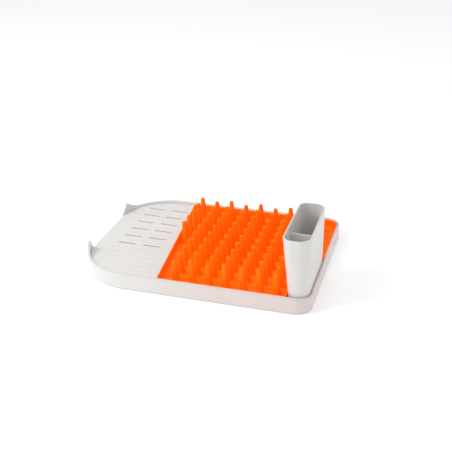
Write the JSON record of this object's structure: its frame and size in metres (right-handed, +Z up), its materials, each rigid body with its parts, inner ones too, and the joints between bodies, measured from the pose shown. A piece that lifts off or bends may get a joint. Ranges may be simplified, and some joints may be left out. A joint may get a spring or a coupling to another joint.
{
  "type": "dish drying rack",
  "caption": "Low drip tray with a ribbed drain deck, a mat of upright pegs for plates and glasses, and a tall utensil caddy in one corner.",
  "frame": {"origin": "centre of the footprint, on the surface that the rack stands on", "axes": "+X from the drain mouth to the caddy end, +Y from front to back, +Z up"},
  "size_m": [0.43, 0.336, 0.134],
  "materials": {
    "tray_white": "satin moulded plastic",
    "caddy_white": "satin moulded plastic",
    "mat_orange": "soft satin moulded plastic",
    "foot_rubber": "matte"
  },
  "bodies": {
    "base": {"tray": "tray_white", "foot_front_left": "foot_rubber", "foot_front_right": "foot_rubber", "foot_back_left": "foot_rubber", "foot_back_right": "foot_rubber"},
    "deck": {"drain_deck": "tray_white"},
    "mat": {"peg_mat": "mat_orange", "peg_row_1": "mat_orange", "peg_row_2": "mat_orange", "peg_row_3": "mat_orange", "peg_row_4": "mat_orange", "peg_row_5": "mat_orange", "peg_row_6": "mat_orange", "peg_row_7": "mat_orange", "peg_row_8": "mat_orange", "peg_row_9": "mat_orange", "peg_row_10": "mat_orange"},
    "cup": {"caddy": "caddy_white"},
    "divider": {"caddy_divider": "caddy_white"}
  },
  "joints": [
    {"name": "deck_lift", "type": "slide", "parent": "base", "child": "deck", "axis": [0, 0, 1], "range_m": [0, 0.06]},
    {"name": "mat_lift", "type": "slide", "parent": "base", "child": "mat", "axis": [0, 0, 1], "range_m": [0, 0.08]},
    {"name": "caddy_lift", "type": "slide", "parent": "mat", "child": "cup", "axis": [0, 0, 1], "range_m": [0, 0.1]},
    {"name": "divider_lift", "type": "slide", "parent": "cup", "child": "divider", "axis": [0, 0, 1], "range_m": [0, 0.13]}
  ]
}
